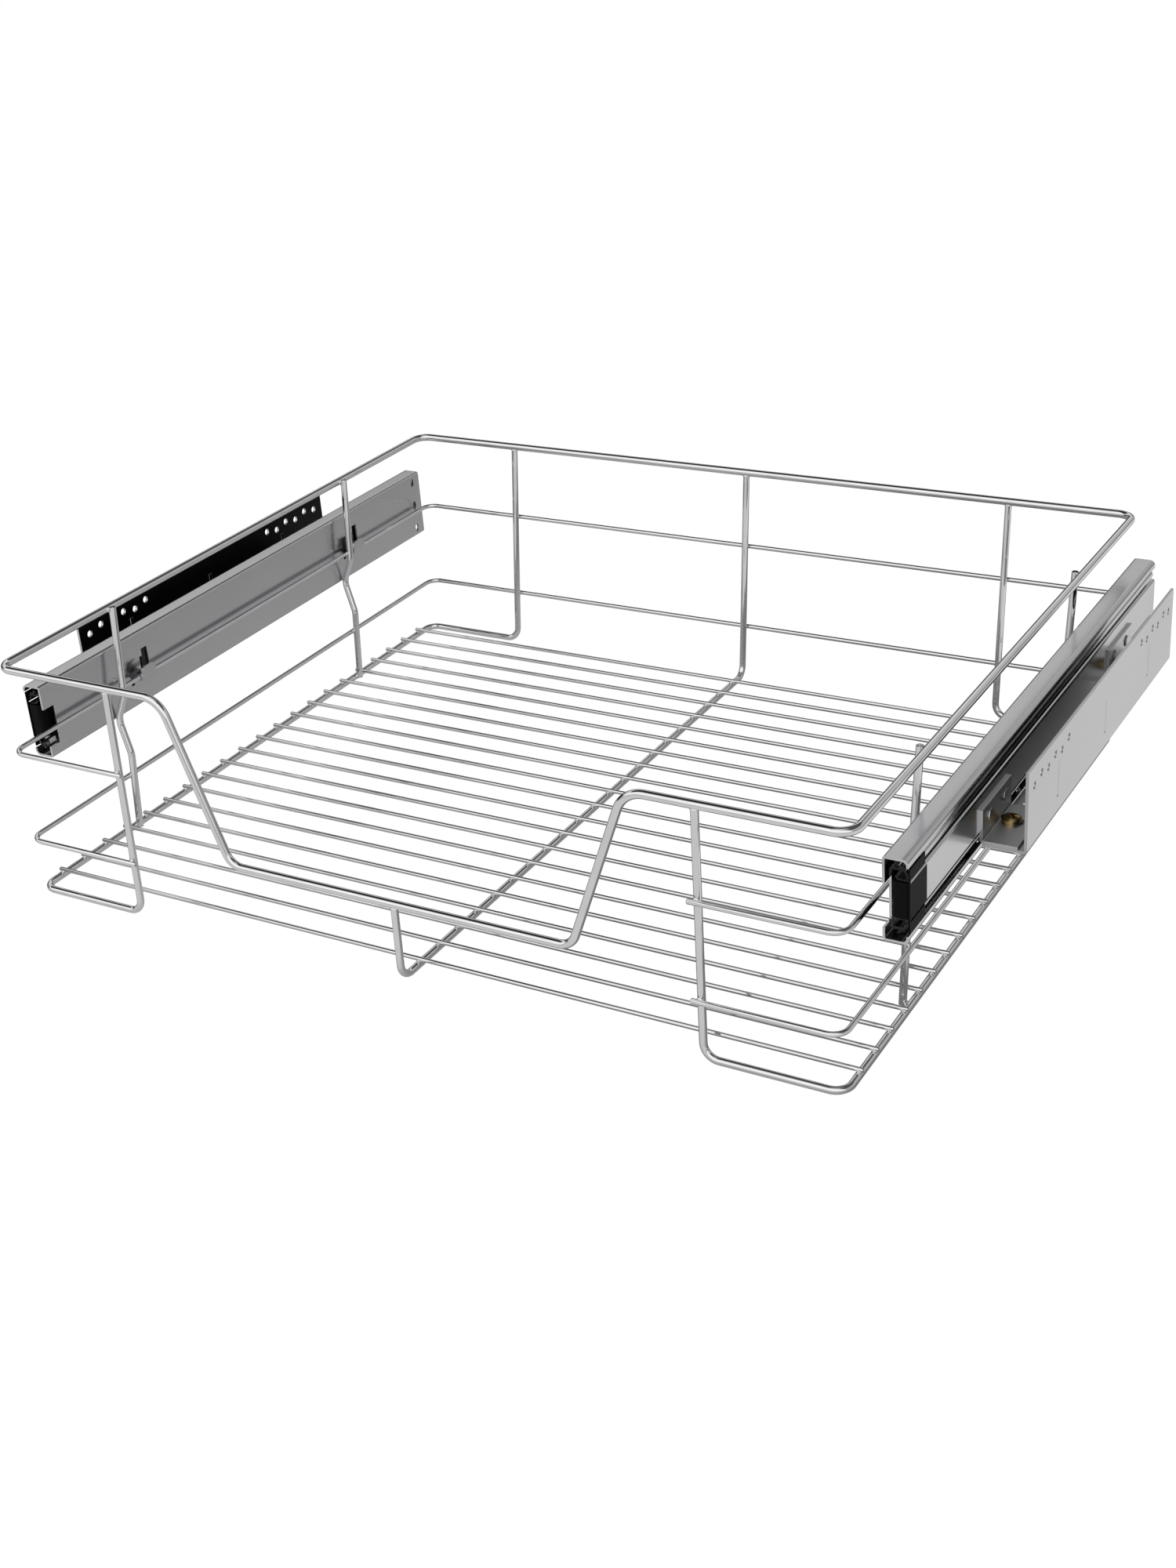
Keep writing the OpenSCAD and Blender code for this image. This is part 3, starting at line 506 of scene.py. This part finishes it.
# how far out, how high and how large the bead is at the rim, the two rings and the base wire
hanger_beads = ((241.9, -0.4, (0.9, 2.4, 1.9)), (240.4, -47.5, (0.8, 1.9, 1.9)),
                (239.1, -99.5, (0.8, 1.9, 1.9)), (238.6, -130.4, (0.9, 2.2, 1.9)))


def hanger_y(top_y, z):
    """Where a leaning hanger is at the height z, by where its top is."""
    return top_y - lean * (rise - z) / (rise + basket_h)


for side, way in (("left", -1), ("right", 1)):
    for end, top_y in (("front", 87), ("rear", 310)):
        corners = [Vector((x, hanger_y(top_y, z), z)) for z, x in touches.items()]
        # the knee's corner lies beyond its rounded bend, which is what leans on the runner
        turn = (corners[2] - corners[1]).angle(corners[3] - corners[2])
        corners[2].x += knee_bend * (1 / math.cos(turn / 2) - 1)
        corners = [(way * p.x, p.y, p.z) for p in corners]
        make_wire(f"hanger_{end}_{side}_bent", corners, knee_bend, frame_wire, f"hanger_{end}_{side}")
        for x, z, spread in hanger_beads:
            welds.append(((way * x, hanger_y(top_y, z), z), spread))

# --------------------------------------------------------------------- welds
# Every crossing of two wires is resistance welded: the wires are pressed into
# each other while hot, which squeezes out a small soft-edged bead of steel.
# The plating covers the beads as it covers the wires.
bead_mesh = bpy.data.meshes.new("weld_beads")
bead_mesh.from_pydata([from_rim(*place) for place, _ in welds], [], [])
spread = bead_mesh.attributes.new("spread", "FLOAT_VECTOR", "POINT")
spread.data.foreach_set("vector", [s / 1000 for _, size in welds for s in size])


def weld_tree():
    """Puts a flattened round bead on each point."""
    tree, link, given = geometry_tree("weld beads", [
        ("Places", "Geometry"), ("Roundness", "Int", 2), ("Finish", "Material")], "Beads")
    ball = add_node(tree, "GeometryNodeMeshIcoSphere", Radius=1.0)
    link(given.outputs["Roundness"], ball.inputs["Subdivisions"])
    size = add_node(tree, "GeometryNodeInputNamedAttribute", {"data_type": "FLOAT_VECTOR"}, Name="spread")
    placed = add_node(tree, "GeometryNodeInstanceOnPoints")
    link(given.outputs["Places"], placed.inputs["Points"])
    link(ball.outputs[0], placed.inputs["Instance"])
    link(size.outputs["Attribute"], placed.inputs["Scale"])
    hand_out(tree, link, given, placed.outputs[0])
    return tree


beads = grow("weld_beads", bead_mesh, weld_tree(), {"Roundness": 3, "Finish": chrome_wire}, sharp=180)
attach(beads, "basket")

# ------------------------------------------------------------ drawer members
# The tall outer channel that carries the basket: 1.2 mm steel strip, rolled
# into a C with races along both edges, then pierced so that two tongues of
# its web can be bent into hooks with round tips. It is bright zinc plated.


def zinc(name, tone, roughness):
    """Bright plated sheet with a faint haze and lines along the way it was rolled."""
    return clouded(name, 12.0, [(0.32, tuple(c * 0.96 for c in tone)), (0.68, tone)],
                   (roughness * 0.85, roughness * 1.15), streaks=(1500.0, (1.0, 0.012, 1.0)))


runner_tone, runner_roughness = (0.60, 0.60, 0.61), 0.22
runner_zinc = zinc("runner zinc", runner_tone, runner_roughness)


def round_corners(work, boxes, radius):
    """Rounds off each edge that lies in one of the boxes, each given by two opposite corners."""
    reach = 0.0004
    chosen = [edge for edge in work.edges for low, high in boxes
              if all(low[i] - reach < end.co[i] < high[i] + reach for end in edge.verts for i in range(3))]
    bmesh.ops.bevel(work, geom=chosen, offset=radius, segments=6, profile=0.5, affect="EDGES")


def worked_copy(node, name, finish, body, edge=0.00012, sharp=30, corners=(), radius=0.0):
    """A copy of a CAD piece with its loose faces joined and its edges broken.

    Each of corners is the box round one short edge that is rounded off first."""
    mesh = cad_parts[node].data.copy()
    mesh.name = name
    work = bmesh.new()
    work.from_mesh(mesh)
    bmesh.ops.remove_doubles(work, verts=work.verts, dist=1e-6)
    bmesh.ops.dissolve_limit(work, angle_limit=math.radians(0.5), verts=work.verts, edges=work.edges)
    if corners:
        round_corners(work, corners, radius)
    work.to_mesh(mesh)
    work.free()
    mesh.materials.clear()
    mesh.materials.append(finish)
    smooth(mesh, sharp)
    piece = bpy.data.objects.new(name, mesh)
    scene.collection.objects.link(piece)
    if edge:
        bevel = piece.modifiers.new("broken edges", "BEVEL")
        bevel.width = edge
        bevel.segments = 2
        bevel.limit_method = "ANGLE"
        bevel.angle_limit = math.radians(sharp)
    settle = piece.modifiers.new("flat faces stay flat", "WEIGHTED_NORMAL")
    settle.weight = 100
    settle.keep_sharp = not edge
    ready = piece.evaluated_get(bpy.context.evaluated_depsgraph_get())
    piece_mesh = bpy.data.meshes.new_from_object(ready)
    piece.modifiers.clear()
    piece.data = piece_mesh
    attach(piece, body)
    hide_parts(node)


sheet, hook_w, hook_play, tip_rise, tip_radius = 1.2, 12, 0.1, 6, 0.004
ring_drop, ring_half_w = ring_drops["upper_ring"]
tip_x = ring_half_w - ring_wire / 2 - hook_play - sheet
tip_z = hook_play + tip_rise - ring_drop
for side, way in (("left", -1), ("right", 1)):
    tips = []
    for hook_y in (105.5, 316):
        for y in (hook_y - hook_w / 2, hook_y + hook_w / 2):
            ends = [from_rim(way * x, y, tip_z) for x in (tip_x, tip_x + sheet)]
            tips.append(([min(a) for a in zip(*ends)], [max(a) for a in zip(*ends)]))
    worked_copy(f"drawer_member_{side}", f"drawer_channel_{side}", runner_zinc, "basket",
                corners=tips, radius=tip_radius)

# ------------------------------------------------------------ middle members
# A smaller rolled strip with a race on both sides of each flange. It runs on
# balls between the drawer member and the cabinet member. Both inner members
# are cut to length after plating; the faces at their front ends are painted
# near black, a painted shade.


def find_node(tree, kind):
    """The first node of a kind."""
    return next(node for node in tree.nodes if node.type == kind)


def paint_shade_on_faces(material, towards, limit, tone):
    """Paints shade, as another tone, on the faces whose value at the socket towards is below limit."""
    tree = material.node_tree
    base = find_node(tree, "BSDF_PRINCIPLED").inputs["Base Color"]
    chosen = maths(tree, "LESS_THAN", towards, limit)
    tree.links.new(mix_colours(tree, chosen, base.links[0].from_socket, shade(tree, tone)), base)


def face_normal(tree):
    """The three sockets of a face's own normal."""
    return parts_of(tree, add_node(tree, "ShaderNodeNewGeometry").outputs["True Normal"])


inner_zinc_painted_shade = zinc("inner member zinc with painted shade", runner_tone, runner_roughness)
# painted shade: the faces that look to the front, the members' front ends, are painted near black
paint_shade_on_faces(inner_zinc_painted_shade, face_normal(inner_zinc_painted_shade.node_tree)["Y"], -0.8, (0.03, 0.03, 0.03))
for side in ("left", "right"):
    worked_copy(f"middle_member_{side}", f"middle_channel_{side}", inner_zinc_painted_shade,
                f"middle_{side}")

# ----------------------------------------------------------- cabinet members
# The strip that stays in the cabinet, rolled like the others. Four rivets
# hold it to the runner angles.
for side in ("left", "right"):
    worked_copy(f"cabinet_member_{side}", f"cabinet_channel_{side}", inner_zinc_painted_shade,
                "fixed_runners")

# ----------------------------------------------------------- cages and balls
# Thin strips, pressed with a pocket for each ball, keep the balls apart. The
# strip is finished black, and the balls are hardened and polished steel.
black_strip = clouded("black strip", 160.0, [(0.3, 0.006), (0.7, 0.014)], (0.35, 0.5), metallic=0.0)
polished_ball = chrome("polished ball", (0.72, 0.73, 0.75), 0.06)
for side in ("left", "right"):
    for row, body in (("drawer", f"drawer_bearing_{side}"), ("cabinet", f"cabinet_bearing_{side}")):
        worked_copy(f"{row}_cage_{side}", f"{row}_ball_strip_{side}", black_strip, body,
                    edge=0)
        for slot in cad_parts[f"{row}_balls_{side}"].material_slots:
            slot.material = polished_ball

# ------------------------------------------------------------- front buffers
# A moulded nylon block in the notched front ends of the two inner members. It
# stays with the cabinet member and cushions the others as the basket closes.
black_nylon = clouded("black nylon", 900.0, [(0.3, 0.002), (0.7, 0.004)], (0.42, 0.54), metallic=0.0,
                      detail=2.0, Specular_IOR_Level=0.05)
tree = black_nylon.node_tree
relief = add_node(tree, "ShaderNodeBump", Strength=0.15, Distance=0.00005)
tree.links.new(find_node(tree, "TEX_NOISE").outputs[0], relief.inputs["Height"])
tree.links.new(relief.outputs[0], find_node(tree, "BSDF_PRINCIPLED").inputs["Normal"])
for side in ("left", "right"):
    worked_copy(f"front_buffer_{side}", f"nylon_buffer_{side}", black_nylon,
                "fixed_runners", edge=0.0002)

# ------------------------------------------------- runner angles and rivets
# Two short angles of 1.5 mm steel stand behind each runner. Their upright
# flanges are riveted to the cabinet member and their legs have a slot for
# the adjusting screw. They are plated with zinc, and the rivets are domed.
bracket_zinc = zinc("bracket zinc", (0.68, 0.68, 0.69), 0.36)
for side in ("left", "right"):
    worked_copy(f"runner_angles_{side}", f"slotted_angles_{side}", bracket_zinc,
                "fixed_runners", edge=0.0002)
    worked_copy(f"angle_rivets_{side}", f"pan_rivets_{side}", bracket_zinc,
                "fixed_runners", edge=0.0006)

# ------------------------------------------------------------- wall brackets
# A long angle of the same steel on each side is screwed to the cabinet
# through two staggered rows of holes. Three upright beads stiffen it. It is
# zinc all over; the face that looks at the basket is painted nearly black,
# as painted shade and a painted dark reflection.
bracket_zinc_painted_shade = zinc("wall bracket zinc with painted shade", (0.63, 0.63, 0.64), 0.33)
tree = bracket_zinc_painted_shade.node_tree
place = parts_of(tree, add_node(tree, "ShaderNodeTexCoord").outputs["Object"])
outboard = maths(tree, "MULTIPLY", face_normal(tree)["X"], maths(tree, "SIGN", place["X"]))
# painted shade and dark reflection: the faces that look at the basket are painted near black
paint_shade_on_faces(bracket_zinc_painted_shade, outboard, -0.7, (0.035, 0.035, 0.037))
for side in ("left", "right"):
    worked_copy(f"wall_bracket_{side}", f"beaded_bracket_{side}", bracket_zinc_painted_shade,
                f"bracket_{side}", edge=0.0002)

# ------------------------------------------------ adjusting screws and nuts
# Pan-head machine screws with a cross recess clamp each wall bracket under
# the runner angles. Their nuts are welded below it. The screws are plated
# yellow and the nuts white.
yellow_zinc = clouded("yellow zinc", 300.0, [
    (0.3, (0.26, 0.17, 0.06)), (0.5, (0.40, 0.29, 0.12)), (0.7, (0.34, 0.28, 0.17))], (0.18, 0.30))
for side in ("left", "right"):
    worked_copy(f"adjusting_screws_{side}", f"pan_screws_{side}", yellow_zinc,
                f"bracket_{side}", edge=0.00015)
    worked_copy(f"adjusting_nuts_{side}", f"weld_nuts_{side}", bracket_zinc,
                f"bracket_{side}", edge=0.0003)
